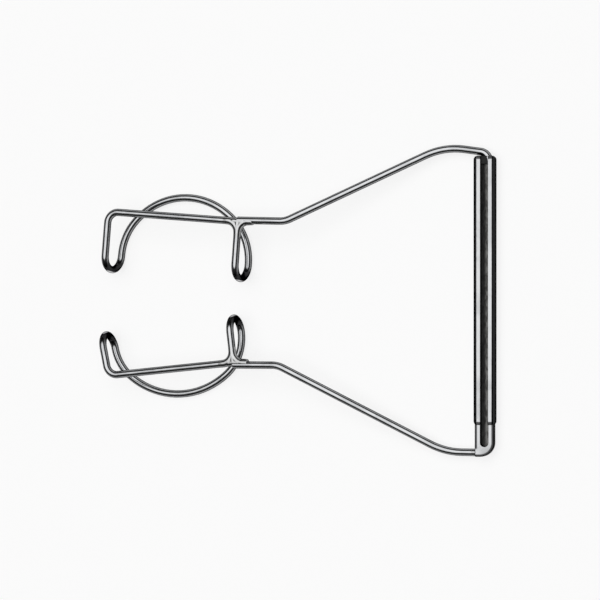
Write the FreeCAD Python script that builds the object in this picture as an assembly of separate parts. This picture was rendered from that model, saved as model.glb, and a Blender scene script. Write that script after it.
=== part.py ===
import FreeCAD, Part
import math
import os

from FreeCAD import Vector

# Wire eyelid speculum with a telescoping back.
# Each half is a wire blade loop brazed to a wire arm. The upper arm carries a folded sheath, the lower arm a
# grooved bar that slides in it, so the two blades move apart in a straight line and stay where they are put.
# The part lies flat, with the arches of the blades and the sheath on z = 0, +X runs from the blades to the
# back and +Y from the lower half to the upper half. It is bent by hand, so the halves differ a little.
# Lengths in millimetres, leans and tilts in degrees.

# Wire stock, diameters
blade_wire = 0.78
arm_wire = 0.78

# Blade loops. The wire runs along the front bar, down the outer leg, round a hook, over the arch that lies
# under the lid, round the other hook and up the inner leg. Reaches go from the bar to the far side of a hook,
# and an inset moves an end of the arch towards the middle of the blade.
hook_bend = 1.5
inner_bend = 1.0
outer_bend = 1.2
seam_offset = 1.15
seam_gap = 0.04

upper_span = 15.35
upper_bar_tilt = 4.3
upper_inner_lean = 4.5
upper_outer_lean = 5.0
upper_inner_reach = 6.0
upper_outer_reach = 6.15
upper_inner_inset = -0.1
upper_outer_inset = 0.4
upper_haunch_bend = 6.0
upper_crown_lift = 0.65

lower_span = 14.85
lower_bar_tilt = 5.7
lower_inner_lean = 7.2
lower_outer_lean = 12.1
lower_inner_reach = 4.7
lower_outer_reach = 4.43
lower_inner_inset = 0.15
lower_outer_inset = -0.15
lower_haunch_bend = 5.0
lower_crown_lift = 0.9

# Arms, from the blade junction over a shoulder and a crest to the back. Distances along X are from the middle
# of the back, the upper ones along Y from the top of the sheath and the lower ones from the foot of the bar.
# An arm starts a little outside the line of the front bar.
upper_reach = 26.96
upper_drop = 6.53
upper_shoulder = 5.45
upper_shoulder_dip = 0.1
upper_arm_offset = 0.04
upper_crest_inset = 4.56
upper_crest_rise = 1.03
upper_crest_bend = 7.5
tang_offset = 0.5
tang_bend_rise = 0.33
tang_bend = 1.1

lower_reach = 27.49
lower_rise = 9.52
lower_shoulder = 5.1
lower_arm_offset = 0.245
lower_crest_inset = 4.42
lower_crest_bend = 7.5

shoulder_bend = 2.5

# Braze at each blade junction: a knuckle over the end of the arm and the seam of the loop, and a web in each
# corner between the wires
collar_cover = 0.03
braze_fillet = 0.85
braze_thickness = 0.56

# Sheath: thin strip folded round the bar, with a slot along its front. The back is turned about its own length,
# so that its front leans away from the blades.
back_turn = 14
sheath_length = 27.6
sheath_width = 2.28
sheath_depth = 1.5
sheath_wall = 0.12
sheath_fold = 0.44
slot_width = 0.77
mouth_round = 0.4

# Plug that closes the top of the sheath and holds the end of the upper arm
plug_length = 0.8
tang_cover = 0.1

# Bar with a milled groove, closed and rounded at the foot that shows below the sheath
foot_length = 3.26
slide_clearance = 0.025
closing_gap = 0.05
bar_edge = 0.28
groove_width = 0.9
groove_depth = 0.72
groove_end_web = 1.0
foot_round = 1.45
socket_depth = 0.6
socket_wall = 0.03
socket_braze = 0.14
socket_cone = 0.25

# Limits that keep bends and rounded edges within their stock, as shares of the run or width that they take
shared_run = 0.5
end_run = 0.95
full_round = 0.49

# How far a cutting tool runs past its piece, and how near two points count as one
past = 6.0
same_place = 1e-6

# What follows from these: the bar fills the sheath but for its clearance, from the plug to the foot
hollow_width = sheath_width - 2 * sheath_wall
hollow_depth = sheath_depth - 2 * sheath_wall
hollow_fold = sheath_fold - sheath_wall
bar_width = hollow_width - 2 * slide_clearance
bar_depth = hollow_depth - 2 * slide_clearance
bar_length = sheath_length - plug_length - closing_gap + foot_length
bar_top = -plug_length - closing_gap
bar_foot = bar_top - bar_length
arch_level = blade_wire / 2
front_level = arch_level + 2 * hook_bend
back_lean = math.radians(back_turn)
beside_fold = sheath_width / 2 - sheath_fold
above_fold = sheath_depth / 2 - sheath_fold
back_level = beside_fold * math.sin(back_lean) + above_fold * math.cos(back_lean) + sheath_fold
collar = blade_wire + 2 * collar_cover
up = Vector(0, 0, 1)


def line(start, end):
    return Part.LineSegment(start, end).toShape()


def arc(start, middle, end):
    return Part.Arc(start, middle, end).toShape()


def heading(angle, side):
    # Direction towards the opening between the lids, leaned towards the outer end of the blade.
    turn = math.radians(angle)
    return Vector(-math.sin(turn), -side * math.cos(turn), 0)


def bent_path(points, bends):
    # Straight runs joined by arcs. A bend is at most as large as the runs beside it allow.
    edges = []
    here = points[0]
    last = len(bends) - 1
    for index, bend in enumerate(bends):
        corner = points[index + 1]
        back = points[index] - corner
        ahead = points[index + 2] - corner
        room_back = back.Length * (shared_run if index else end_run)
        room_ahead = ahead.Length * (shared_run if index < last else end_run)
        back.normalize()
        ahead.normalize()
        half = back.getAngle(ahead) / 2
        radius = min(bend, min(room_back, room_ahead) * math.tan(half))
        setback = radius / math.tan(half)
        inward = (back + ahead).normalize()
        start = corner + back * setback
        end = corner + ahead * setback
        edges.append(line(here, start))
        edges.append(arc(start, corner + inward * (radius / math.sin(half) - radius), end))
        here = end
    edges.append(line(here, points[-1]))
    return edges


def round_wire(edges, diameter):
    # Round stock that follows a path.
    first = edges[0]
    start = first.valueAt(first.FirstParameter)
    ring = Part.makeCircle(diameter / 2, start, first.tangentAt(first.FirstParameter))
    return Part.Wire(edges).makePipe(Part.Face(Part.Wire(ring)))


def main_solid(shape):
    return max(shape.Solids, key=lambda solid: solid.Volume)


def hook(start, end, direction):
    # Half turn from the front of the blade to the arch, or back.
    return arc(start, (start + end) / 2 + direction * ((start - end).Length / 2), end)


def haunch(end, centre, meeting):
    # Arc from an end of the arch to where it meets the crown.
    radius = (end - centre).Length
    middle = (end + meeting - centre * 2).normalize() * radius
    return arc(end, centre + middle, meeting)


def arch(outer_end, outer_inward, inner_end, inner_inward, bend, lift, side):
    # Two haunches of one radius with a flatter crown between them.
    outer_centre = outer_end + outer_inward * bend
    inner_centre = inner_end + inner_inward * bend
    between = inner_centre - outer_centre
    crest = up.cross(between).normalize() * side
    rise = bend + lift
    crown = (rise**2 + between.Length**2 / 4 - bend**2) / (2 * lift)
    crown_centre = (outer_centre + inner_centre) / 2 + crest * (rise - crown)
    outer_meeting = crown_centre + (outer_centre - crown_centre).normalize() * crown
    inner_meeting = crown_centre + (inner_centre - crown_centre).normalize() * crown
    return [
        haunch(outer_end, outer_centre, outer_meeting),
        arc(outer_meeting, crown_centre + crest * crown, inner_meeting),
        haunch(inner_meeting, inner_centre, inner_end),
    ]


class Blade:
    # One wire loop, from its seam in the inner leg all the way round and back. side is 1 above, -1 below.
    def __init__(self, side, junction, span, bar_tilt, leans, reaches, insets, haunch_bend, crown_lift):
        tilt = math.radians(bar_tilt)
        self.junction = junction
        self.along = Vector(-math.cos(tilt), side * math.sin(tilt), 0)
        self.inner = heading(leans[0], side)
        self.outer = heading(leans[1], side)
        corner = junction + self.along * span
        depth = up * (2 * hook_bend)
        inner_inward = up.cross(self.inner) * -side
        outer_inward = up.cross(self.outer) * side
        inner_front = junction + self.inner * (reaches[0] - hook_bend)
        outer_front = corner + self.outer * (reaches[1] - hook_bend)
        inner_back = inner_front - depth + inner_inward * insets[0]
        outer_back = outer_front - depth + outer_inward * insets[1]
        seam_start = junction + self.inner * seam_offset
        seam_end = junction + self.inner * (seam_offset + seam_gap)
        self.path = [
            *bent_path([seam_start, junction, corner, outer_front], [inner_bend, outer_bend]),
            hook(outer_front, outer_back, self.outer),
            *arch(outer_back, outer_inward, inner_back, inner_inward, haunch_bend, crown_lift, side),
            hook(inner_back, inner_front, self.inner),
            line(inner_front, seam_end),
        ]
        self.loop = round_wire(self.path, blade_wire)


def corner_web(centre, first, second):
    # Flat piece of braze between two wires that leave the same point, with a hollow edge.
    half = first.getAngle(second) / 2
    edge = blade_wire / 2
    reach = (edge + braze_fillet) / math.tan(half)
    inward = (first + second).normalize()
    deepest = centre + inward * ((edge + braze_fillet) / math.sin(half) - braze_fillet)
    ends = []
    for wire, other in ((first, second), (second, first)):
        beside = (other - wire * wire.dot(other)).normalize()
        ends.append(centre + wire * reach)
        ends.append(centre + wire * reach + beside * edge)
    outline = Part.Wire(
        [
            line(centre, ends[0]),
            line(ends[0], ends[1]),
            arc(ends[1], deepest, ends[3]),
            line(ends[3], ends[2]),
            line(ends[2], centre),
        ]
    )
    web = Part.Face(outline).extrude(up * braze_thickness)
    web.translate(up * (-braze_thickness / 2))
    return web


def junction_braze(blade, arm):
    centre = blade.junction
    knuckle = Part.makeSphere(arm_wire / 2, centre)
    ring_end = centre + blade.inner * (seam_offset + seam_gap + collar_cover)
    ring = round_wire([line(centre, ring_end)], collar)
    webs = [corner_web(centre, blade.inner, other) for other in (blade.along, Vector(1, 0, 0))]
    return main_solid(knuckle.fuse([ring, *webs]).cut(blade.loop).cut(arm))


def strip(width, depth, corner, top, bottom):
    # Bar along the back, centred on its level, with rounded long edges.
    box = Part.makeBox(width, top - bottom, depth, Vector(-width / 2, bottom, back_level - depth / 2))
    long_edges = [edge for edge in box.Edges if abs(edge.tangentAt(0).y) > end_run]
    return box.makeFillet(min(corner, full_round * depth), long_edges)


def turned(shape):
    # The pieces of the back are made upright and turned together about its middle line.
    return shape.rotated(up * back_level, Vector(0, 1, 0), back_turn)


def front_plate(half_width, bottom, top, bottom_left, bottom_right, top_round, depth):
    # Plate across the back, centred on its level, with corners rounded as seen from the front.
    corner = Vector(-half_width, bottom, back_level - depth / 2)
    plate = Part.makeBox(2 * half_width, top - bottom, depth, corner)
    rounds = (
        (-half_width, bottom, bottom_left),
        (half_width, bottom, bottom_right),
        (-half_width, top, top_round),
        (half_width, top, top_round),
    )
    for x, y, radius in rounds:
        if radius > 0:
            upright = [
                edge
                for edge in plate.Edges
                if all(abs(v.X - x) < same_place and abs(v.Y - y) < same_place for v in edge.Vertexes)
            ]
            plate = plate.makeFillet(radius, upright)
    return plate


def sheath_ends():
    corner = min(mouth_round, full_round * sheath_width)
    return front_plate(sheath_width / 2, -sheath_length, 0, corner, corner, corner, past)


def make_sheath():
    # The hollow and the slot run out past both ends.
    body = strip(sheath_width, sheath_depth, sheath_fold, 0, -sheath_length)
    hollow = strip(hollow_width, hollow_depth, hollow_fold, past, -sheath_length - past)
    corner = Vector(-slot_width / 2, -sheath_length - past, back_level)
    slot = Part.makeBox(slot_width, sheath_length + 2 * past, sheath_depth, corner)
    return turned(main_solid(body.common(sheath_ends()).cut(hollow).cut(slot)))


def make_plug(arm):
    plug = strip(hollow_width, hollow_depth, hollow_fold, 0, -plug_length)
    return main_solid(turned(plug.common(sheath_ends())).cut(arm))


def bar_outline(depth):
    corner = min(foot_round, end_run * bar_width)
    return front_plate(bar_width / 2, bar_foot, bar_top, 0, corner, 0, depth)


def make_bar(arm):
    body = bar_outline(bar_depth)
    rims = [edge for edge in body.Edges if abs(edge.tangentAt(edge.FirstParameter).z) < same_place]
    body = body.makeFillet(bar_edge, rims)
    end_round = full_round * groove_width
    groove_foot = bar_foot + groove_end_web
    groove = front_plate(groove_width / 2, groove_foot, bar_top + past, end_round, end_round, 0, past)
    floor_level = back_level + bar_depth / 2 - groove_depth
    groove.translate(up * (floor_level - groove.BoundBox.ZMin))
    return main_solid(turned(body.cut(groove)).cut(arm))


def dress_tang(arm):
    # The end of the lower arm is flush with the rounded foot that it sits in.
    corner = Vector(-bar_width / 2, bar_foot - past, back_level - past / 2)
    inside_face = Part.makeBox(past, 2 * past, past, corner)
    return arm.cut(turned(inside_face.cut(bar_outline(2 * past))))


def make_socket_braze(arm, bar):
    # Small cone of braze round the lower arm, where it enters the foot. It fills the rounded edges of the foot.
    radius = arm_wire / 2
    face = Vector(-bar_width / 2, bar_foot + socket_wall + radius, back_level)
    outward = Vector(-1, 0, 0)
    sleeve = Part.makeCylinder(radius + socket_braze, bar_edge, face - outward * bar_edge, outward)
    cone = Part.makeCone(radius + socket_braze, radius, socket_cone, face, outward)
    corner = Vector(-past, bar_foot, back_level - past)
    above_foot = Part.makeBox(past, past, 2 * past, corner)
    return main_solid(sleeve.fuse(cone).common(above_foot).cut(bar).cut(arm))


def make_upper_half():
    blade = Blade(
        1,
        Vector(-upper_reach, -upper_drop, front_level),
        upper_span,
        upper_bar_tilt,
        (upper_inner_lean, upper_outer_lean),
        (upper_inner_reach, upper_outer_reach),
        (upper_inner_inset, upper_outer_inset),
        upper_haunch_bend,
        upper_crown_lift,
    )
    arm_start = blade.junction + Vector(0, upper_arm_offset, 0)
    route = [
        arm_start,
        arm_start + Vector(upper_shoulder, -upper_shoulder_dip, 0),
        Vector(-upper_crest_inset, upper_crest_rise, back_level),
        Vector(tang_offset, tang_bend_rise, back_level),
        Vector(tang_offset, tang_cover - plug_length, back_level),
    ]
    arm = round_wire(bent_path(route, [shoulder_bend, upper_crest_bend, tang_bend]), arm_wire)
    arm = main_solid(arm.cut(blade.loop))
    return {
        "sheath": make_sheath(),
        "sheath_end_plug": make_plug(arm),
        "upper_arm": arm,
        "upper_blade_loop": blade.loop,
        "upper_junction_braze": junction_braze(blade, arm),
    }


def make_lower_half():
    blade = Blade(
        -1,
        Vector(-lower_reach, bar_foot + lower_rise, front_level),
        lower_span,
        lower_bar_tilt,
        (lower_inner_lean, lower_outer_lean),
        (lower_inner_reach, lower_outer_reach),
        (lower_inner_inset, lower_outer_inset),
        lower_haunch_bend,
        lower_crown_lift,
    )
    arm_line = bar_foot + socket_wall + arm_wire / 2
    arm_start = blade.junction + Vector(0, -lower_arm_offset, 0)
    route = [
        arm_start,
        arm_start + Vector(lower_shoulder, 0, 0),
        Vector(-lower_crest_inset, arm_line, back_level),
        Vector(socket_depth - bar_width / 2, arm_line, back_level),
    ]
    arm = round_wire(bent_path(route, [shoulder_bend, lower_crest_bend]), arm_wire)
    arm = main_solid(dress_tang(arm).cut(blade.loop))
    bar = make_bar(arm)
    return {
        "slide_bar": bar,
        "lower_arm": arm,
        "lower_blade_loop": blade.loop,
        "lower_junction_braze": junction_braze(blade, arm),
        "slide_socket_braze": make_socket_braze(arm, bar),
    }


def main():
    pieces = {**make_upper_half(), **make_lower_half()}
    box = Part.makeCompound(list(pieces.values())).optimalBoundingBox(False, False)
    to_origin = Vector(-(box.XMin + box.XMax) / 2, -(box.YMin + box.YMax) / 2, 0)
    os.makedirs("parts", exist_ok=True)
    for name, solid in pieces.items():
        solid.translate(to_origin)
        solid.exportStep(f"parts/{name}.step")
        print(name, "valid" if solid.isValid() else "NOT VALID", round(solid.Volume, 4))
    print("middle of the back, top of the sheath:", to_origin.x, to_origin.y)
    print("overall size:", box.XLength, box.YLength, box.ZLength, "lowest", box.ZMin)


main()
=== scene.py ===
import math

import bmesh
import bpy
from mathutils import Matrix, Vector


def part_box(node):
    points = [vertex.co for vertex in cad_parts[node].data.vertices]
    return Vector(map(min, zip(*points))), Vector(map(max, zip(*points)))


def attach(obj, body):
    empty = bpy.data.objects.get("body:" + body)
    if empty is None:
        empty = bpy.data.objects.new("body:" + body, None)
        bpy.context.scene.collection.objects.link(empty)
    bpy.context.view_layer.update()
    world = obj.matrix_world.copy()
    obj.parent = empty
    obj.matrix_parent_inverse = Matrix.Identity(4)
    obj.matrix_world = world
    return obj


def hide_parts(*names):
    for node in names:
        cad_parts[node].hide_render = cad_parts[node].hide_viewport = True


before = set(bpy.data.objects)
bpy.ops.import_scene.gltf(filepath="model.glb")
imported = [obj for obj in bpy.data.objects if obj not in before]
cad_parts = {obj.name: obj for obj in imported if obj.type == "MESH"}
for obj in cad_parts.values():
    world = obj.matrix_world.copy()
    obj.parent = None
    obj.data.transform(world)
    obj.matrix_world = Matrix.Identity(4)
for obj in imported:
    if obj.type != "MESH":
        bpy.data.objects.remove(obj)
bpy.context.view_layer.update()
print("frame loaded, nodes:", len(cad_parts))

mm = 0.001
up = Vector((0, 0, 1))
near = 1e-4  # two places closer than this are one, in millimetres
sharpFrom = math.radians(40)

# Pieces are drawn in millimetres from the middle of the back at the sheath's top, then set in the frame.
sheathLow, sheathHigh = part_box("sheath")
backOrigin = Vector(((sheathLow.x + sheathHigh.x) / 2, sheathHigh.y, sheathLow.z))
backLevel = (sheathHigh.z - sheathLow.z) / 2 / mm

# The back: a bar that slides in a folded sheath. Both are turned about their length.
back = {"turn": math.radians(14), "width": 2.28, "depth": 1.5, "wall": 0.12, "fold": 0.44, "slot": 0.77}
sheath = {"length": 27.6, "mouthRound": 0.4, "rimRound": 0.045, "foldSteps": 9}
plug = {"length": 0.8, "gap": 0.01, "recess": 0.15, "crown": 0.12}
bar = {
    "width": 1.99,
    "depth": 1.21,
    "top": -0.85,
    "foot": -30.86,
    "footRound": 1.45,
    "cornerRound": 0.12,
    "edgeRound": 0.28,
    "groove": 0.9,
    "grooveDepth": 0.72,
    "endWeb": 1.0,
    "rimRound": 0.035,
    "floorRound": 0.12,
}
socket = {
    "profile": (  # along the arm from the middle of the back, and radius
        (-0.45, 0.4),
        (-0.9, 0.404),
        (-1.05, 0.402),
        (-1.25, 0.397),
        (-1.4, 0.391),
    )
}

# The wire, its hooks and the two arms
wireStock = {"thick": 0.78, "sides": 32, "step": math.radians(4)}
# The hook's last entry sets how strongly its bends get painted shade and a painted highlight.
hook = {"bend": 1.5, "innerBend": 1.0, "outerBend": 1.2, "seamOffset": 1.15, "seamGap": 0.04, "paintedBendLight": 1.0}
frontLevel = wireStock["thick"] / 2 + 2 * hook["bend"]

upperArm = {
    "start": Vector((-26.96, -6.42, frontLevel)),
    "shoulder": Vector((-21.51, -6.56, frontLevel)),
    "crest": Vector((-4.56, 1.03, backLevel)),
    "crestBend": 7.5,
    "tangCorner": Vector((0.5, 0.33, backLevel)),
    "tangBend": 1.1,
    "end": Vector((0.5, -0.7, backLevel)),
}

lowerArm = {
    "start": Vector((-27.49, -21.585, frontLevel)),
    "shoulder": Vector((-22.39, -21.585, frontLevel)),
    "crest": Vector((-4.42, -30.44, backLevel)),
    "crestBend": 7.5,
    "end": Vector((-0.395, -30.44, backLevel)),
}


# Camera, floor and light

camera = {
    "lens": 250,
    "distance": 0.4375,
    "turn": 25,  # degrees off the view from above, towards the back of the instrument
    "target": Vector((-21.38, -14.78, 0)),
}

studio = {
    "floorRadius": 1.3,
    "floorDrop": 0.00002,
    "wallHeight": 0.16,
    "floorColor": (0.93, 0.93, 0.93, 1),
    "whiteShare": 0.8,  # the rest takes the shadow
    "lightAxis": Vector((0.04, 0.18, 1)),  # the middle of the bright part of the room
    "room": ((0.02, 0.01), (0.35, 0.02), (0.73, 0.03), (0.9, 1.0)),  # how near the light axis, how bright
    "roomBright": 2.5,
}


def addObject(name, data):
    made = bpy.data.objects.new(name, data)
    bpy.context.scene.collection.objects.link(made)
    return made


def readShaped(thing):
    # The mesh of an object after its modifiers.
    shaped = bpy.data.meshes.new_from_object(thing.evaluated_get(bpy.context.evaluated_depsgraph_get()))
    mesh = bmesh.new()
    mesh.from_mesh(shaped)
    return mesh


def addMath(tree, kind, first, second):
    reckoned = tree.nodes.new("ShaderNodeMath")
    reckoned.operation = kind
    for port, value in zip(reckoned.inputs, (first, second)):
        if isinstance(value, (int, float)):
            port.default_value = value
        else:
            tree.links.new(value, port)
    return reckoned.outputs["Value"]


def makeCamera():
    turn = math.radians(camera["turn"])
    data = bpy.data.cameras.new("camera")
    data.lens = camera["lens"]
    data.sensor_width = 36
    data.clip_start = 0.01
    data.clip_end = 10
    eye = addObject("camera", data)
    aside = Vector((math.sin(turn), 0, math.cos(turn))) * camera["distance"]
    eye.location = backOrigin + camera["target"] * mm + aside
    eye.rotation_euler = (0, turn, 0)
    bpy.context.scene.camera = eye


def makeFloor():
    mesh = bmesh.new()
    bmesh.ops.create_circle(mesh, cap_ends=True, segments=96, radius=studio["floorRadius"])
    rim = [edge for edge in mesh.edges if edge.is_boundary]
    wall = bmesh.ops.extrude_edge_only(mesh, edges=rim)
    raised = [part for part in wall["geom"] if isinstance(part, bmesh.types.BMVert)]
    bmesh.ops.translate(mesh, verts=raised, vec=(0, 0, studio["wallHeight"]))
    bmesh.ops.translate(mesh, verts=mesh.verts[:], vec=(0, 0, -studio["floorDrop"]))
    data = bpy.data.meshes.new("floor")
    mesh.to_mesh(data)
    mesh.free()
    floor = addObject("floor", data)
    paint = bpy.data.materials.new("floorPaper")
    paint.use_nodes = True
    shader = paint.node_tree.nodes["Principled BSDF"]
    shader.inputs["Base Color"].default_value = studio["floorColor"]
    shader.inputs["Roughness"].default_value = 0.9
    shader.inputs["Specular IOR Level"].default_value = 0.1
    tree = paint.node_tree
    ray = tree.nodes.new("ShaderNodeLightPath")
    seen = addMath(tree, "MAXIMUM", ray.outputs["Is Camera Ray"], ray.outputs["Is Glossy Ray"])
    seen = addMath(tree, "MAXIMUM", seen, ray.outputs["Is Transmission Ray"])
    white = tree.nodes.new("ShaderNodeEmission")
    both = tree.nodes.new("ShaderNodeMixShader")
    tree.links.new(addMath(tree, "MULTIPLY", seen, studio["whiteShare"]), both.inputs["Fac"])
    tree.links.new(shader.outputs["BSDF"], both.inputs[1])
    tree.links.new(white.outputs["Emission"], both.inputs[2])
    tree.links.new(both.outputs["Shader"], tree.nodes["Material Output"].inputs["Surface"])
    data.materials.append(paint)


def lightRoom():
    world = bpy.data.worlds.new("room")
    bpy.context.scene.world = world
    world.use_nodes = True
    nodes = world.node_tree.nodes
    links = world.node_tree.links
    place = nodes.new("ShaderNodeTexCoord")
    facing = nodes.new("ShaderNodeVectorMath")
    facing.operation = "DOT_PRODUCT"
    facing.inputs[1].default_value = studio["lightAxis"].normalized()
    links.new(place.outputs["Generated"], facing.inputs[0])
    ramp = nodes.new("ShaderNodeValToRGB")
    ramp.color_ramp.interpolation = "EASE"
    stops = ramp.color_ramp.elements
    while len(stops) < len(studio["room"]):
        stops.new(0.5)
    for stop, (position, level) in zip(stops, studio["room"]):
        stop.position = position
        stop.color = (level, level, level, 1)
    links.new(facing.outputs["Value"], ramp.inputs["Fac"])
    links.new(ramp.outputs["Color"], nodes["Background"].inputs["Color"])
    nodes["Background"].inputs["Strength"].default_value = studio["roomBright"]


def setLook():
    bpy.context.scene.view_settings.view_transform = "Standard"


makeCamera()
makeFloor()
lightRoom()
setLook()
print("camera, floor and light made")


# Wires are fed and bent as a wire former does it: straight feeds and arcs about a centre.

def newWireMesh():
    mesh = bmesh.new()
    mesh.verts.layers.float_vector.new("lay")
    # Layers for painted shade in the bends, a painted highlight on their outside, and which way the surface
    # faces.
    for layer in ("paintedBendLight", "wearAndGlint", "facing"):
        mesh.verts.layers.float.new(layer)
    return mesh


def startWire(diameter, start, heading, mesh=None):
    if mesh is None:
        mesh = newWireMesh()
    lay = mesh.verts.layers.float_vector["lay"]
    sides = wireStock["sides"]
    place = Matrix.Translation(start) @ heading.to_track_quat("Z", "Y").to_matrix().to_4x4()
    ring = bmesh.ops.create_circle(mesh, segments=sides, radius=diameter / 2, matrix=place)["verts"]
    for index, vert in enumerate(ring):
        angle = 2 * math.pi * index / sides
        vert[lay] = Vector((math.cos(angle), math.sin(angle), 0))
    bmesh.ops.contextual_create(mesh, geom=ring)
    return {"mesh": mesh, "ring": ring, "at": start.copy(), "heading": heading.normalized(), "length": 0.0}


def growWire(wire, length):
    mesh = wire["mesh"]
    ring = set(wire["ring"])
    rim = [edge for edge in mesh.edges if edge.verts[0] in ring and edge.verts[1] in ring]
    made = bmesh.ops.extrude_edge_only(mesh, edges=rim)["geom"]
    wire["ring"] = [part for part in made if isinstance(part, bmesh.types.BMVert)]
    wire["length"] += length
    lay = mesh.verts.layers.float_vector["lay"]
    for vert in wire["ring"]:
        vert[lay].z = wire["length"]


def feed(wire, length):
    if length < near:
        return
    growWire(wire, length)
    bmesh.ops.translate(wire["mesh"], verts=wire["ring"], vec=wire["heading"] * length)
    wire["at"] += wire["heading"] * length


def feedTo(wire, point):
    feed(wire, (point - wire["at"]).dot(wire["heading"]))


def bendTo(wire, centre, end, paintedBendLight=0.0):
    arm = wire["at"] - centre
    angle = arm.angle(end - centre)
    axis = arm.cross(wire["heading"]).normalized()
    steps = max(2, round(angle / wireStock["step"]))
    turn = Matrix.Rotation(angle / steps, 3, axis)
    bendShadeLayer = wire["mesh"].verts.layers.float["paintedBendLight"]
    glintLayer = wire["mesh"].verts.layers.float["wearAndGlint"]
    for step in range(1, steps + 1):
        growWire(wire, arm.length * angle / steps)
        bmesh.ops.rotate(wire["mesh"], verts=wire["ring"], cent=centre, matrix=turn)
        wire["heading"] = turn @ wire["heading"]
        if not paintedBendLight:
            continue
        # Painted shade along the bend, and a painted highlight spot on its outside.
        share = math.sin(math.pi * step / steps)
        fromCentre = Matrix.Rotation(angle * step / steps, 3, axis) @ arm
        for vert in wire["ring"]:
            outside = (vert.co - centre - fromCentre).dot(fromCentre.normalized()) * 2 / wireStock["thick"]
            vert[bendShadeLayer] = paintedBendLight * share
            vert[glintLayer] = paintedBendLight * share**3 * outside
    wire["at"] = centre + Matrix.Rotation(angle, 3, axis) @ arm


def turnCorner(wire, corner, ahead, bend):
    behind = -wire["heading"]
    ahead = ahead.normalized()
    half = behind.angle(ahead) / 2
    setback = bend / math.tan(half)
    feedTo(wire, corner + behind * setback)
    centre = corner + (behind + ahead).normalized() * (bend / math.sin(half))
    bendTo(wire, centre, corner + ahead * setback)


def taper(wire, length, ratio):
    feed(wire, length)
    shift = Matrix.Translation(-wire["at"])
    bmesh.ops.scale(wire["mesh"], verts=wire["ring"], vec=(ratio, ratio, ratio), space=shift)


def closeWire(wire):
    bmesh.ops.contextual_create(wire["mesh"], geom=wire["ring"])
    return wire["mesh"]


def finishPiece(mesh, name, body, material, replaced, smooth=sharpFrom):
    bmesh.ops.scale(mesh, verts=mesh.verts[:], vec=(mm, mm, mm))
    bmesh.ops.translate(mesh, verts=mesh.verts[:], vec=backOrigin)
    bmesh.ops.recalc_face_normals(mesh, faces=mesh.faces[:])
    facing = mesh.verts.layers.float.get("facing")
    if facing:
        mesh.normal_update()
        for vert in mesh.verts:
            vert[facing] = vert.normal.z
    loose = sum(not edge.is_manifold for edge in mesh.edges)
    print(name, "faces", len(mesh.faces), "open edges", loose)
    data = bpy.data.meshes.new(name)
    mesh.to_mesh(data)
    mesh.free()
    data.shade_smooth()
    data.set_sharp_from_angle(angle=smooth)
    data.materials.append(material)
    piece = addObject(name, data)
    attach(piece, body)
    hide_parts(*replaced)


# Finishes. Lengths in them are millimetres: Object coordinates are brought to millimetres first.

finish = {
    "wire": {
        "color": (0.305, 0.309, 0.315),
        "wearAndGlint": (0.26, 0.264, 0.27),
        "gloss": (0.08, 0.16),
        "grain": 0.0012,
        "wave": 0.02,
        "scratches": 0.5,
    },
    "strip": {
        "color": (0.29, 0.293, 0.298),
        "wearAndGlint": (0.25, 0.253, 0.258),
        "gloss": (0.1, 0.2),
        "grain": 0.0012,
        "wave": 0.014,
        "scratches": 0.6,
    },
    "bar": {
        "color": (0.28, 0.283, 0.288),
        "wearAndGlint": (0.22, 0.223, 0.227),
        "gloss": (0.12, 0.24),
        "grain": 0.0012,
        "wave": 0.012,
        "scratches": 0.6,
    },
    "braze": {
        "color": (0.3, 0.302, 0.304),
        "wearAndGlint": (0.27, 0.271, 0.27),
        "gloss": (0.1, 0.19),
        "grain": 0.003,
        "wave": 0.03,
        "scratches": 0.4,
    },
    # painted shade: the plug's face is near black
    "plug": {
        "color": (0.012, 0.012, 0.012),
        "wearAndGlint": (0.006, 0.006, 0.006),
        "gloss": (0.3, 0.45),
        "grain": 0.006,
        "wave": 0.02,
        "scratches": 0.5,
    },
    # painted shade in the bar's groove, mottled, darkest along its left side as a painted shadow of the lip
    "groove": {
        "color": (0.085, 0.084, 0.082),
        "deeperShade": (0.04, 0.039, 0.037),
        "corner": (0.012, 0.012, 0.012),
        "gloss": (0.35, 0.5),
        "sideBlur": (-0.03, 0.02),  # about the wall of the groove
        "rimBlur": (0.14, 0.02),  # below its rim
        "floorBlur": (0.3, 0.2),  # below its floor
        "lipShadowBlur": (-0.12, 0.24),  # across the groove, where the painted shadow of the lip ends
    },
    "paintedShade": (0.03, 0.03, 0.031),  # painted shade on the hooks' bends, the strip's folds, sides and ends, and the bar's edges
    # painted shade on the sides of a wire that face down
    "under": (0.1, 0.101, 0.103),
    "underSide": (0.3, 0.62),  # how far a wire's surface faces up where its painted shade on the under side ends
    # painted highlight on the outside of each hook's bend
    "paintedGlint": (0.7, 0.7, 0.71),
    "armClearance": (0.3, 0.5),  # above the arm, where the painted shade on the bar's edge ends
    "stripEdge": (0.7, 0.82),  # how far from the middle of the back the painted shade sets in
    "stripEnd": (0.42, 0.29),  # and how near its ends
    "barEdge": (0.3, 0.2),  # how near its outline the painted shade on the bar sets in
    "edgeTint": (0.01, 0.01, 0.01, 1),
}


def makeGroup(name, inputs, outputs):
    group = bpy.data.node_groups.new(name, "ShaderNodeTree")
    for label, kind, value in inputs:
        port = group.interface.new_socket(name=label, in_out="INPUT", socket_type=kind)
        if value is not None:
            port.default_value = value
    for label, kind in outputs:
        group.interface.new_socket(name=label, in_out="OUTPUT", socket_type=kind)
    start = group.nodes.new("NodeGroupInput")
    end = group.nodes.new("NodeGroupOutput")
    return group, start, end


def addNoise(tree, place, scale, detail=3.0, distortion=0.0):
    noise = tree.nodes.new("ShaderNodeTexNoise")
    noise.inputs["Scale"].default_value = scale
    noise.inputs["Detail"].default_value = detail
    noise.inputs["Distortion"].default_value = distortion
    tree.links.new(place, noise.inputs["Vector"])
    return noise.outputs["Fac"]


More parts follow.
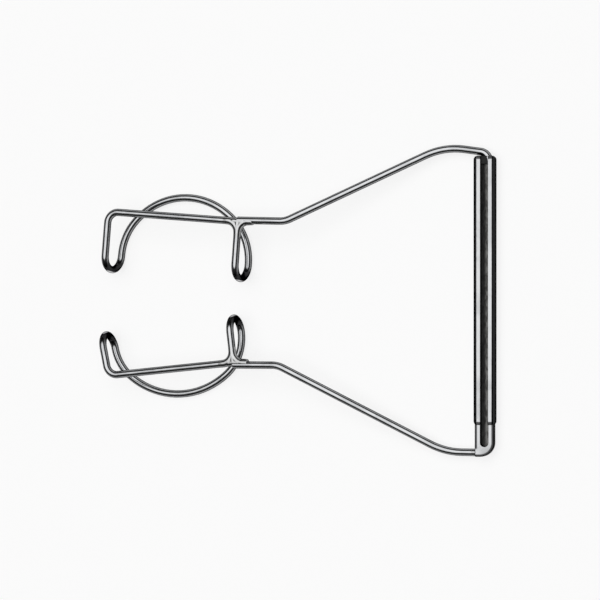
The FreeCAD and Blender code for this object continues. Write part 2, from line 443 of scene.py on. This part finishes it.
def addStretch(tree, place, scale, turn=(0, 0, 0)):
    mapping = tree.nodes.new("ShaderNodeMapping")
    mapping.inputs["Rotation"].default_value = turn
    mapping.inputs["Scale"].default_value = scale
    tree.links.new(place, mapping.inputs["Vector"])
    return mapping.outputs["Vector"]


def addRange(tree, value, low, high, toLow=0.0, toHigh=1.0):
    span = tree.nodes.new("ShaderNodeMapRange")
    span.interpolation_type = "SMOOTHSTEP"
    span.inputs["From Min"].default_value = low
    span.inputs["From Max"].default_value = high
    span.inputs["To Min"].default_value = toLow
    span.inputs["To Max"].default_value = toHigh
    tree.links.new(value, span.inputs["Value"])
    return span.outputs["Result"]


def makeScratches():
    # Thin lines left by handling and polishing, in two directions.
    group, start, end = makeGroup(
        "fineScratches",
        [("Place", "NodeSocketVector", None), ("Amount", "NodeSocketFloat", 0.5)],
        [("Mask", "NodeSocketFloat")],
    )
    lines = []
    for stretch, turn in (((0.5, 9, 9), (0.2, 0.1, 0.7)), ((8, 0.4, 8), (0.1, 0.3, -0.45))):
        place = addStretch(group, start.outputs["Place"], stretch, turn)
        lines.append(addRange(group, addNoise(group, place, 1.6, 1.0), 0.66, 0.74))
    both = addMath(group, "MAXIMUM", lines[0], lines[1])
    group.links.new(addMath(group, "MULTIPLY", both, start.outputs["Amount"]), end.inputs["Mask"])
    return group


def makeSmudges():
    # Broad dull patches where fingers and cloths have been.
    group, start, end = makeGroup(
        "handSmudges",
        [("Place", "NodeSocketVector", None)],
        [("Patch", "NodeSocketFloat"), ("Wave", "NodeSocketFloat")],
    )
    cloud = addNoise(group, start.outputs["Place"], 0.45, 5.0, 0.4)
    group.links.new(addRange(group, cloud, 0.42, 0.66), end.inputs["Patch"])
    group.links.new(addNoise(group, start.outputs["Place"], 0.7, 1.0), end.inputs["Wave"])
    return group


def makeGrain():
    # Drawing and polishing lines that run along the stock.
    group, start, end = makeGroup(
        "stockGrain",
        [("Along", "NodeSocketVector", None)],
        [("Line", "NodeSocketFloat")],
    )
    group.links.new(addNoise(group, start.outputs["Along"], 1.0, 4.0), end.inputs["Line"])
    return group


scratchGroup = makeScratches()
smudgeGroup = makeSmudges()
grainGroup = makeGrain()


def placeGroup(tree, group, **given):
    node = tree.nodes.new("ShaderNodeGroup")
    node.node_tree = group
    for label, value in given.items():
        if isinstance(value, (int, float)):
            node.inputs[label].default_value = value
        else:
            tree.links.new(value, node.inputs[label])
    return node


def addPlace(tree):
    # Object coordinates in millimetres, along the back's own directions.
    place = tree.nodes.new("ShaderNodeTexCoord")
    mapping = tree.nodes.new("ShaderNodeMapping")
    mapping.vector_type = "TEXTURE"
    mapping.inputs["Location"].default_value = backOrigin + up * (backLevel * mm)
    mapping.inputs["Rotation"].default_value = (0, back["turn"], 0)
    mapping.inputs["Scale"].default_value = (mm, mm, mm)
    tree.links.new(place.outputs["Object"], mapping.inputs["Vector"])
    return mapping.outputs["Vector"]


def mixColors(tree, factor, first, second):
    mix = tree.nodes.new("ShaderNodeMix")
    mix.data_type = "RGBA"
    for name, value in (("Factor_Float", factor), ("A_Color", first), ("B_Color", second)):
        port = next(one for one in mix.inputs if one.identifier == name)
        if isinstance(value, tuple):
            port.default_value = (*value, 1)
        else:
            tree.links.new(value, port)
    return next(one for one in mix.outputs if one.identifier == "Result_Color")


def makeMetal(name, look, along):
    paint = bpy.data.materials.new(name)
    paint.use_nodes = True
    tree = paint.node_tree
    shader = tree.nodes["Principled BSDF"]
    shader.inputs["Metallic"].default_value = 1
    shader.inputs["Specular Tint"].default_value = finish["edgeTint"]
    place = addPlace(tree)
    smudge = placeGroup(tree, smudgeGroup, Place=place)
    scratch = placeGroup(tree, scratchGroup, Place=place, Amount=look["scratches"])
    grain = placeGroup(tree, grainGroup, Along=along(tree, place))
    color = mixColors(tree, smudge.outputs["Patch"], look["color"], look["wearAndGlint"])
    glossy, dull = look["gloss"]
    rough = addRange(tree, smudge.outputs["Patch"], 0, 1, glossy, dull)
    lineRough = addMath(tree, "MULTIPLY", grain.outputs["Line"], (dull - glossy) * 0.5)
    rough = addMath(tree, "ADD", rough, lineRough)
    height = addMath(tree, "MULTIPLY", grain.outputs["Line"], look["grain"])
    height = addMath(tree, "ADD", height, addMath(tree, "MULTIPLY", smudge.outputs["Wave"], look["wave"]))
    scratchDepth = addMath(tree, "MULTIPLY", scratch.outputs["Mask"], look["grain"])
    height = addMath(tree, "SUBTRACT", height, scratchDepth)
    bump = tree.nodes.new("ShaderNodeBump")
    bump.inputs["Distance"].default_value = mm
    tree.links.new(height, bump.inputs["Height"])
    tree.links.new(color, shader.inputs["Base Color"])
    tree.links.new(rough, shader.inputs["Roughness"])
    tree.links.new(bump.outputs["Normal"], shader.inputs["Normal"])
    return {"paint": paint, "tree": tree, "shader": shader, "place": place, "color": color, "rough": rough}


def readLayer(tree, name, output="Fac"):
    layer = tree.nodes.new("ShaderNodeAttribute")
    layer.attribute_name = name
    return layer.outputs[output]


def alongWire(tree, place):
    # Wire keeps its own lay through the bends, so its grain doesn't need the place.
    return addStretch(tree, readLayer(tree, "lay", "Vector"), (7, 7, 0.25))


def alongBack(tree, place):
    return addStretch(tree, place, (14, 0.35, 14))


def allRound(tree, place):
    return addStretch(tree, place, (5, 5, 5))


def recolor(metal, mask, color):
    metal["color"] = mixColors(metal["tree"], mask, metal["color"], color)
    metal["tree"].links.new(metal["color"], metal["shader"].inputs["Base Color"])


def splitPlace(metal):
    parts = metal["tree"].nodes.new("ShaderNodeSeparateXYZ")
    metal["tree"].links.new(metal["place"], parts.inputs["Vector"])
    return parts.outputs


def makeWirePaint():
    # Painted shade darkens the sides of the wire that face down and the tight bends of the hooks.
    # A painted highlight puts a bright spot on the outside of each hook's bend.
    metal = makeMetal("polishedWire", finish["wire"], alongWire)
    tree = metal["tree"]
    patchy = addMath(tree, "MULTIPLY", addNoise(tree, metal["place"], 1.4), 0.2)
    upward = addMath(tree, "ADD", readLayer(tree, "facing"), patchy)
    inBend = addMath(tree, "ADD", readLayer(tree, "paintedBendLight"), patchy)
    onCrest = addMath(tree, "SUBTRACT", readLayer(tree, "wearAndGlint"), patchy)
    # Painted shade on the sides of the wire that face down.
    recolor(metal, addRange(tree, upward, *finish["underSide"], 1, 0), finish["under"])
    # Painted shade in the tight bends of the hooks.
    recolor(metal, addRange(tree, inBend, 0.3, 0.75), finish["paintedShade"])
    # Painted highlight: a bright spot on the outside of each hook's bend.
    recolor(metal, addRange(tree, onCrest, 0.45, 0.6), finish["paintedGlint"])
    return metal["paint"]


def makeStripPaint():
    # Painted shade on the folds, the narrow sides and the cut ends.
    metal = makeMetal("foldedStrip", finish["strip"], alongBack)
    tree = metal["tree"]
    parts = splitPlace(metal)
    uneven = addMath(tree, "MULTIPLY", addNoise(tree, metal["place"], 2.5), 0.05)
    aside = addMath(tree, "SUBTRACT", addMath(tree, "ABSOLUTE", parts["X"], 0), uneven)
    middle = sheath["length"] / 2
    toMiddle = addMath(tree, "ABSOLUTE", addMath(tree, "ADD", parts["Y"], middle), 0)
    toEnd = addMath(tree, "ADD", addMath(tree, "SUBTRACT", middle, toMiddle), uneven)
    edge = addRange(tree, aside, *finish["stripEdge"])
    ends = addRange(tree, toEnd, finish["stripEnd"][1], finish["stripEnd"][0], 1, 0)
    # Painted shade on the strip's sides and ends.
    recolor(metal, addMath(tree, "MAXIMUM", edge, ends), finish["paintedShade"])
    return metal["paint"]


def darkenBarEdges(metal):
    # Painted shade along the outline of the bar and round its foot, but not where the arm runs in.
    tree = metal["tree"]
    parts = splitPlace(metal)
    side, footRound = bar["width"] / 2, bar["footRound"]
    acrossRound = addMath(tree, "MAXIMUM", addMath(tree, "SUBTRACT", parts["X"], side - footRound), 0)
    downRound = addMath(tree, "MAXIMUM", addMath(tree, "SUBTRACT", bar["foot"] + footRound, parts["Y"]), 0)
    acrossSquare = addMath(tree, "POWER", acrossRound, 2)
    downSquare = addMath(tree, "POWER", downRound, 2)
    reach = addMath(tree, "SQRT", addMath(tree, "ADD", acrossSquare, downSquare), 0)
    start, end = (footRound - inset for inset in finish["barEdge"])
    outer = addRange(tree, reach, start, end)
    left = addRange(tree, parts["X"], finish["barEdge"][1] - side, finish["barEdge"][0] - side, 1, 0)
    aboveArm = addRange(tree, parts["Y"], *(lowerArm["end"].y + gap for gap in finish["armClearance"]))
    edge = addMath(tree, "MAXIMUM", outer, addMath(tree, "MULTIPLY", left, aboveArm))
    # Painted shade along the bar's edges.
    recolor(metal, edge, finish["paintedShade"])


def makeBarPaint():
    # Polished outside, with painted shade in the groove, mottled, and darkest on its left side as a painted
    # shadow of the lip.
    metal = makeMetal("milledBar", finish["bar"], alongBack)
    darkenBarEdges(metal)
    tree = metal["tree"]
    parts = splitPlace(metal)
    look = finish["groove"]
    rimLevel = bar["depth"] / 2
    floorLevel = rimLevel - bar["grooveDepth"]
    aside = addMath(tree, "ABSOLUTE", parts["X"], 0)
    within = addRange(tree, aside, *(bar["groove"] / 2 + blur for blur in look["sideBlur"]), 1, 0)
    below = addRange(tree, parts["Z"], *(rimLevel - blur for blur in look["rimBlur"]), 1, 0)
    above = addRange(tree, parts["Z"], *(floorLevel - blur for blur in look["floorBlur"]))
    mask = addMath(tree, "MULTIPLY", addMath(tree, "MULTIPLY", within, below), above)
    stretched = addStretch(tree, metal["place"], (5, 1.6, 5))
    mottle = addRange(tree, addNoise(tree, stretched, 1.0, 5.0, 0.6), 0.36, 0.64)
    mottledShade = mixColors(tree, mottle, look["color"], look["deeperShade"])
    corner = addRange(tree, parts["X"], *look["lipShadowBlur"], 1, 0)
    # Painted shade in the groove, with a painted shadow of the lip along its left side.
    recolor(metal, mask, mixColors(tree, corner, mottledShade, look["corner"]))
    grooveRough = addRange(tree, mottle, 0, 1, *look["gloss"])
    kept = addMath(tree, "MULTIPLY", metal["rough"], addMath(tree, "SUBTRACT", 1, mask))
    rough = addMath(tree, "ADD", kept, addMath(tree, "MULTIPLY", grooveRough, mask))
    tree.links.new(rough, metal["shader"].inputs["Roughness"])
    return metal["paint"]


polishedWire = makeWirePaint()
foldedStrip = makeStripPaint()
milledBar = makeBarPaint()
# Painted shade: the plug's face is near black.
plugPaintedShade = makeMetal("plugPaintedShade", finish["plug"], allRound)["paint"]
silverBraze = makeMetal("silverBraze", finish["braze"], allRound)["paint"]
print("finishes made")


# Blades: one wire each, from the seam in the inner leg all the way round

upperBlade = {
    "side": 1,
    "junction": Vector((-26.96, -6.53, frontLevel)),
    "span": 15.35,
    "barTilt": 4.3,
    "innerLean": 4.5,
    "outerLean": 5.0,
    "innerReach": 6.0,
    "outerReach": 6.15,
    "innerInset": -0.1,
    "outerInset": 0.4,
    "haunchBend": 6.0,
    "crownLift": 0.65,
}

lowerBlade = {
    "side": -1,
    "junction": Vector((-27.49, -21.34, frontLevel)),
    "span": 14.85,
    "barTilt": 5.7,
    "innerLean": 7.2,
    "outerLean": 12.1,
    "innerReach": 4.7,
    "outerReach": 4.43,
    "innerInset": 0.15,
    "outerInset": -0.15,
    "haunchBend": 5.0,
    "crownLift": 0.9,
}


def legHeading(lean, side):
    angle = math.radians(lean)
    return Vector((-math.sin(angle), -side * math.cos(angle), 0))


def barHeading(blade):
    tilt = math.radians(blade["barTilt"])
    return Vector((-math.cos(tilt), blade["side"] * math.sin(tilt), 0))


def archTo(wire, outerEnd, outerInward, innerEnd, innerInward, blade):
    bend = blade["haunchBend"]
    lift = blade["crownLift"]
    outerCentre = outerEnd + outerInward * bend
    innerCentre = innerEnd + innerInward * bend
    between = innerCentre - outerCentre
    crest = up.cross(between).normalized() * blade["side"]
    rise = bend + lift
    crown = (rise**2 + between.length**2 / 4 - bend**2) / (2 * lift)
    crownCentre = (outerCentre + innerCentre) / 2 + crest * (rise - crown)
    outerMeeting = crownCentre + (outerCentre - crownCentre).normalized() * crown
    innerMeeting = crownCentre + (innerCentre - crownCentre).normalized() * crown
    bendTo(wire, outerCentre, outerMeeting)
    bendTo(wire, crownCentre, innerMeeting)
    bendTo(wire, innerCentre, innerEnd)


def makeBlade(blade):
    side = blade["side"]
    junction = blade["junction"]
    along = barHeading(blade)
    inner = legHeading(blade["innerLean"], side)
    outer = legHeading(blade["outerLean"], side)
    corner = junction + along * blade["span"]
    depth = up * (2 * hook["bend"])
    innerInward = up.cross(inner) * -side
    outerInward = up.cross(outer) * side
    innerFront = junction + inner * (blade["innerReach"] - hook["bend"])
    outerFront = corner + outer * (blade["outerReach"] - hook["bend"])
    innerBack = innerFront - depth + innerInward * blade["innerInset"]
    outerBack = outerFront - depth + outerInward * blade["outerInset"]
    wire = startWire(wireStock["thick"], junction + inner * hook["seamOffset"], -inner)
    turnCorner(wire, junction, along, hook["innerBend"])
    turnCorner(wire, corner, outer, hook["outerBend"])
    feedTo(wire, outerFront)
    bendTo(wire, (outerFront + outerBack) / 2, outerBack, hook["paintedBendLight"])
    archTo(wire, outerBack, outerInward, innerBack, innerInward, blade)
    bendTo(wire, (innerFront + innerBack) / 2, innerFront, hook["paintedBendLight"])
    feedTo(wire, junction + inner * (hook["seamOffset"] + hook["seamGap"]))
    return closeWire(wire)


for blade, name, body, replaced in (
    (upperBlade, "upperBladeWire", "upper_half", "upper_blade_loop"),
    (lowerBlade, "lowerBladeWire", "lower_half", "lower_blade_loop"),
):
    finishPiece(makeBlade(blade), name, body, polishedWire, [replaced])
print("blades bent")


# Arms: bent from the same wire, from the blade over a shoulder and a crest to the back

shoulderBend = 2.5


def makeArm(arm):
    run = arm["crest"] - arm["shoulder"]
    wire = startWire(wireStock["thick"], arm["start"], arm["shoulder"] - arm["start"])
    turnCorner(wire, arm["shoulder"], run, shoulderBend)
    if "tangCorner" in arm:
        turnCorner(wire, arm["crest"], arm["tangCorner"] - arm["crest"], arm["crestBend"])
        turnCorner(wire, arm["tangCorner"], arm["end"] - arm["tangCorner"], arm["tangBend"])
    else:
        turnCorner(wire, arm["crest"], arm["end"] - arm["crest"], arm["crestBend"])
    feedTo(wire, arm["end"])
    return closeWire(wire)


for arm, name, body, replaced in (
    (upperArm, "upperArmWire", "upper_half", "upper_arm"),
    (lowerArm, "lowerArmWire", "lower_half", "lower_arm"),
):
    finishPiece(makeArm(arm), name, body, polishedWire, [replaced])
print("arms bent")


# Braze where each arm meets its blade: a knuckle over the wire ends, with a rounded fillet in each corner

junctionBraze = {
    "skin": 0.02,  # how far it stands proud of the wire
    "sleeves": (1.3, 0.85, 0.7),  # along the leg, the arm and the bar
    "taperShare": 0.25,  # of each sleeve
    "tip": 0.985,  # thickness of a tapered end, as a share of the wire
    "bend": 1.22,  # of the fillets' middle lines
    "lead": 0.6,  # where they run out on the wire
    "webThickness": 0.77,
    "arcSteps": 10,
    "voxel": 0.034,
    "smoothing": 20,
}


def addSleeve(mesh, centre, heading, length):
    thick = wireStock["thick"] + 2 * junctionBraze["skin"]
    share = junctionBraze["taperShare"]
    sleeve = startWire(thick, centre, heading, mesh)
    feed(sleeve, length * (1 - share))
    taper(sleeve, length * share, wireStock["thick"] * junctionBraze["tip"] / thick)
    closeWire(sleeve)


def addWeb(mesh, centre, first, second):
    half = first.angle(second) / 2
    bend = junctionBraze["bend"]
    reach = bend / math.tan(half)
    filletCentre = centre + (first + second).normalized() * (bend / math.sin(half))
    low = -up * junctionBraze["webThickness"] / 2
    steps = junctionBraze["arcSteps"]
    turn = Matrix.Rotation((math.pi - 2 * half) / steps, 3, second.cross(first).normalized())
    corner = bmesh.ops.create_vert(mesh, co=centre + low)["vert"][0]
    chain = [corner]
    outline = []

    def draw(point):
        made = bmesh.ops.extrude_vert_indiv(mesh, verts=[chain[-1]])
        made["verts"][0].co = point
        chain.append(made["verts"][0])
        outline.append(made["edges"][0])

    draw(centre + first * reach + low)
    for _ in range(steps - 1):
        arm = chain[-1].co - filletCentre - low
        draw(filletCentre + low + turn @ arm)
    draw(centre + second * reach + low)
    outline += bmesh.ops.contextual_create(mesh, geom=[chain[-1], corner])["edges"]
    face = bmesh.ops.edgeloop_fill(mesh, edges=outline)["faces"]
    raised = bmesh.ops.extrude_face_region(mesh, geom=face)["geom"]
    top = [part for part in raised if isinstance(part, bmesh.types.BMVert)]
    bmesh.ops.translate(mesh, verts=top, vec=up * junctionBraze["webThickness"])


def addFillet(mesh, centre, first, second):
    thick = wireStock["thick"] + 2 * junctionBraze["skin"]
    thin = wireStock["thick"] * junctionBraze["tip"]
    bend = junctionBraze["bend"]
    reach = bend / math.tan(first.angle(second) / 2)
    fillet = startWire(thin, centre + first * (reach + junctionBraze["lead"]), -first, mesh)
    taper(fillet, junctionBraze["lead"], thick / thin)
    turnCorner(fillet, centre, second, bend)
    taper(fillet, junctionBraze["lead"], thin / thick)
    closeWire(fillet)


def meltTogether(mesh):
    # Runs the solids of a braze into one skin.
    data = bpy.data.meshes.new("melt")
    mesh.to_mesh(data)
    mesh.free()
    blob = addObject("melt", data)
    remesh = blob.modifiers.new("remesh", "REMESH")
    remesh.mode = "VOXEL"
    remesh.voxel_size = junctionBraze["voxel"]
    smooth = blob.modifiers.new("smooth", "SMOOTH")
    smooth.factor = 0.5
    smooth.iterations = junctionBraze["smoothing"]
    melted = readShaped(blob)
    bpy.data.objects.remove(blob)
    return melted


def makeJunction(blade, arm):
    mesh = newWireMesh()
    centre = blade["junction"]
    along = barHeading(blade)
    inner = legHeading(blade["innerLean"], blade["side"])
    armAlong = (arm["shoulder"] - arm["start"]).normalized()
    knuckle = wireStock["thick"] / 2 + junctionBraze["skin"]
    bmesh.ops.create_icosphere(mesh, subdivisions=3, radius=knuckle, matrix=Matrix.Translation(centre))
    for heading, length in zip((inner, armAlong, along), junctionBraze["sleeves"]):
        addSleeve(mesh, centre, heading, length)
    for branch in (along, armAlong):
        addWeb(mesh, centre, inner, branch)
        addFillet(mesh, centre, branch, inner)
    bmesh.ops.recalc_face_normals(mesh, faces=mesh.faces[:])
    return meltTogether(mesh)


for blade, arm, name, body, replaced in (
    (upperBlade, upperArm, "upperJunctionBraze", "upper_half", "upper_junction_braze"),
    (lowerBlade, lowerArm, "lowerJunctionBraze", "lower_half", "lower_junction_braze"),
):
    finishPiece(makeJunction(blade, arm), name, body, silverBraze, [replaced], math.pi)
print("junctions brazed")


# The back: drawn upright about its middle line, then turned and raised

def roundEdges(mesh, edges, size, segments):
    bmesh.ops.bevel(
        mesh,
        geom=edges,
        offset=size,
        segments=segments,
        affect="EDGES",
        profile=0.5,
        material=-1,
        clamp_overlap=True,
    )


def turnBack(mesh):
    bmesh.ops.rotate(mesh, verts=mesh.verts[:], matrix=Matrix.Rotation(back["turn"], 3, "Y"))
    bmesh.ops.translate(mesh, verts=mesh.verts[:], vec=up * backLevel)
    return mesh


def mouthCut(aside, size):
    # How far a rounded end stands back from the outline's end, beside its middle.
    over = abs(aside) - (back["width"] / 2 - size)
    return size - math.sqrt(max(size**2 - over**2, 0)) if over > 0 else 0.0


def drawTo(mesh, vert, x, z):
    drawn = bmesh.ops.extrude_vert_indiv(mesh, verts=[vert])["verts"][0]
    drawn.co = (x, 0, z)
    return drawn


def drawFold(mesh, vert, x, z, steps):
    turned = bmesh.ops.spin(
        mesh, geom=[vert], cent=(x, 0, z), axis=(0, 1, 0), angle=math.pi / 2, steps=steps, use_duplicate=False
    )["geom_last"]
    return next(part for part in turned if isinstance(part, bmesh.types.BMVert))


def makeSheath():
    mesh = bmesh.new()
    side, front, fold = back["width"] / 2, back["depth"] / 2, back["fold"]
    steps = sheath["foldSteps"]
    here = bmesh.ops.create_vert(mesh, co=(back["slot"] / 2, 0, front))["vert"][0]
    here = drawTo(mesh, here, side - fold, front)
    here = drawFold(mesh, here, side - fold, front - fold, steps)
    here = drawTo(mesh, here, side, fold - front)
    here = drawFold(mesh, here, side - fold, fold - front, steps)
    here = drawTo(mesh, here, fold - side, -front)
    here = drawFold(mesh, here, fold - side, fold - front, steps)
    here = drawTo(mesh, here, -side, front - fold)
    here = drawFold(mesh, here, fold - side, front - fold, steps)
    drawTo(mesh, here, -back["slot"] / 2, front)
    top = mesh.verts[:]
    made = bmesh.ops.extrude_edge_only(mesh, edges=mesh.edges[:])["geom"]
    bottom = [part for part in made if isinstance(part, bmesh.types.BMVert)]
    for vert in top:
        vert.co.y = -mouthCut(vert.co.x, sheath["mouthRound"])
    for vert in bottom:
        vert.co.y = mouthCut(vert.co.x, sheath["mouthRound"]) - sheath["length"]
    bmesh.ops.recalc_face_normals(mesh, faces=mesh.faces[:])
    middles = [(face.normal, face.calc_center_median()) for face in mesh.faces]
    if sum(normal.x * middle.x + normal.z * middle.z for normal, middle in middles) < 0:
        bmesh.ops.reverse_faces(mesh, faces=mesh.faces[:])
    bmesh.ops.solidify(mesh, geom=mesh.faces[:], thickness=back["wall"])
    rims = [edge for edge in mesh.edges if edge.is_manifold and edge.calc_face_angle() > math.radians(50)]
    roundEdges(mesh, rims, sheath["rimRound"], 3)
    return turnBack(mesh)


def addBlock(mesh, low, high):
    made = bmesh.ops.create_cube(mesh, size=1)["verts"]
    bmesh.ops.scale(mesh, verts=made, vec=high - low)
    bmesh.ops.translate(mesh, verts=made, vec=(low + high) / 2)


def uprightAt(mesh, x, y):
    corner = Vector((x, y))
    return [edge for edge in mesh.edges if all((vert.co.xy - corner).length < near for vert in edge.verts)]


def makePlug():
    mesh = bmesh.new()
    side = back["width"] / 2 - back["wall"] - plug["gap"]
    front = back["depth"] / 2 - back["wall"] - plug["gap"]
    addBlock(mesh, Vector((-side, -plug["length"], -front)), Vector((side, 0, front - plug["recess"])))
    half = plug["length"] / 2
    lengthwise = [edge for edge in mesh.edges if abs((edge.verts[0].co - edge.verts[1].co).y) > half]
    roundEdges(mesh, lengthwise, back["fold"] - back["wall"], 6)
    for vert in mesh.verts:
        if vert.co.y > -near:
            vert.co.y = -mouthCut(vert.co.x, sheath["mouthRound"])
    cap = [face for face in mesh.faces if face.normal.y > 0.9]
    bmesh.ops.inset_region(mesh, faces=cap, thickness=plug["crown"], depth=plug["crown"] / 3)
    return turnBack(mesh)


def cutGroove(mesh):
    cutter = bmesh.new()
    half = bar["groove"] / 2
    floor = bar["depth"] / 2 - bar["grooveDepth"]
    foot = bar["foot"] + bar["endWeb"]
    addBlock(cutter, Vector((-half, foot, floor)), Vector((half, bar["top"] + 3, bar["depth"])))
    roundEdges(cutter, uprightAt(cutter, -half, foot) + uprightAt(cutter, half, foot), half * 0.98, 12)
    bodies = []
    for name, part in (("bar", mesh), ("cutter", cutter)):
        data = bpy.data.meshes.new(name)
        part.to_mesh(data)
        part.free()
        bodies.append(addObject(name, data))
    milling = bodies[0].modifiers.new("groove", "BOOLEAN")
    milling.object = bodies[1]
    milling.operation = "DIFFERENCE"
    milling.solver = "EXACT"
    milled = readShaped(bodies[0])
    for body in bodies:
        bpy.data.objects.remove(body)
    return milled


def grooveEdges(mesh, level):
    # Edges between a flat at this level and an upright wall of the groove.
    found = []
    for edge in mesh.edges:
        if not edge.is_manifold or any(abs(vert.co.z - level) > 1e-3 for vert in edge.verts):
            continue
        flats = sum(face.normal.z > 0.99 for face in edge.link_faces)
        walls = sum(abs(face.normal.z) < 0.01 for face in edge.link_faces)
        inGroove = all(abs(vert.co.x) < bar["groove"] / 2 + 1e-3 for vert in edge.verts)
        if flats == 1 and walls == 1 and inGroove:
            found.append(edge)
    return found


def makeBar():
    mesh = bmesh.new()
    side, front = bar["width"] / 2, bar["depth"] / 2
    addBlock(mesh, Vector((-side, bar["foot"], -front)), Vector((side, bar["top"], front)))
    roundEdges(mesh, uprightAt(mesh, side, bar["foot"]), bar["footRound"], 20)
    roundEdges(mesh, uprightAt(mesh, -side, bar["foot"]), bar["cornerRound"], 4)
    rims = [edge for edge in mesh.edges if sum(abs(face.normal.z) > 0.99 for face in edge.link_faces) == 1]
    roundEdges(mesh, rims, bar["edgeRound"], 7)
    mesh = cutGroove(mesh)
    roundEdges(mesh, grooveEdges(mesh, front), bar["rimRound"], 2)
    roundEdges(mesh, grooveEdges(mesh, front - bar["grooveDepth"]), bar["floorRound"], 3)
    return turnBack(mesh)


def makeSocketBraze():
    # A profile turned about the arm: a nearly flush collar that runs out on it.
    mesh = bmesh.new()
    start = Vector((0, lowerArm["crest"].y, backLevel))
    here = bmesh.ops.create_vert(mesh, co=start + Vector((socket["profile"][0][0], 0, 0)))["vert"][0]
    for x, radius in (*socket["profile"], (socket["profile"][-1][0], 0)):
        here = bmesh.ops.extrude_vert_indiv(mesh, verts=[here])["verts"][0]
        here.co = start + Vector((x, radius, 0))
    line = mesh.verts[:] + mesh.edges[:]
    bmesh.ops.spin(mesh, geom=line, cent=start, axis=(1, 0, 0), angle=2 * math.pi, steps=48, use_merge=True)
    bmesh.ops.remove_doubles(mesh, verts=mesh.verts[:], dist=near)
    everything = mesh.verts[:] + mesh.edges[:] + mesh.faces[:]
    foot = (0, bar["foot"], 0)
    bmesh.ops.bisect_plane(mesh, geom=everything, plane_co=foot, plane_no=(0, -1, 0), clear_outer=True)
    bmesh.ops.holes_fill(mesh, edges=[edge for edge in mesh.edges if edge.is_boundary])
    return mesh


for mesh, name, body, slot, material, replaced in (
    (makeSheath(), "sheathStrip", "upper_half", "folded_strip", foldedStrip, "sheath"),
    (makePlug(), "sheathEndPlug", "upper_half", "milled_bar", plugPaintedShade, "sheath_end_plug"),
    (makeBar(), "slideBar", "lower_half", "milled_bar", milledBar, "slide_bar"),
    (makeSocketBraze(), "socketBraze", "lower_half", "silver_braze", silverBraze, "slide_socket_braze"),
):
    finishPiece(mesh, name, body, material, [replaced])
print("back made")
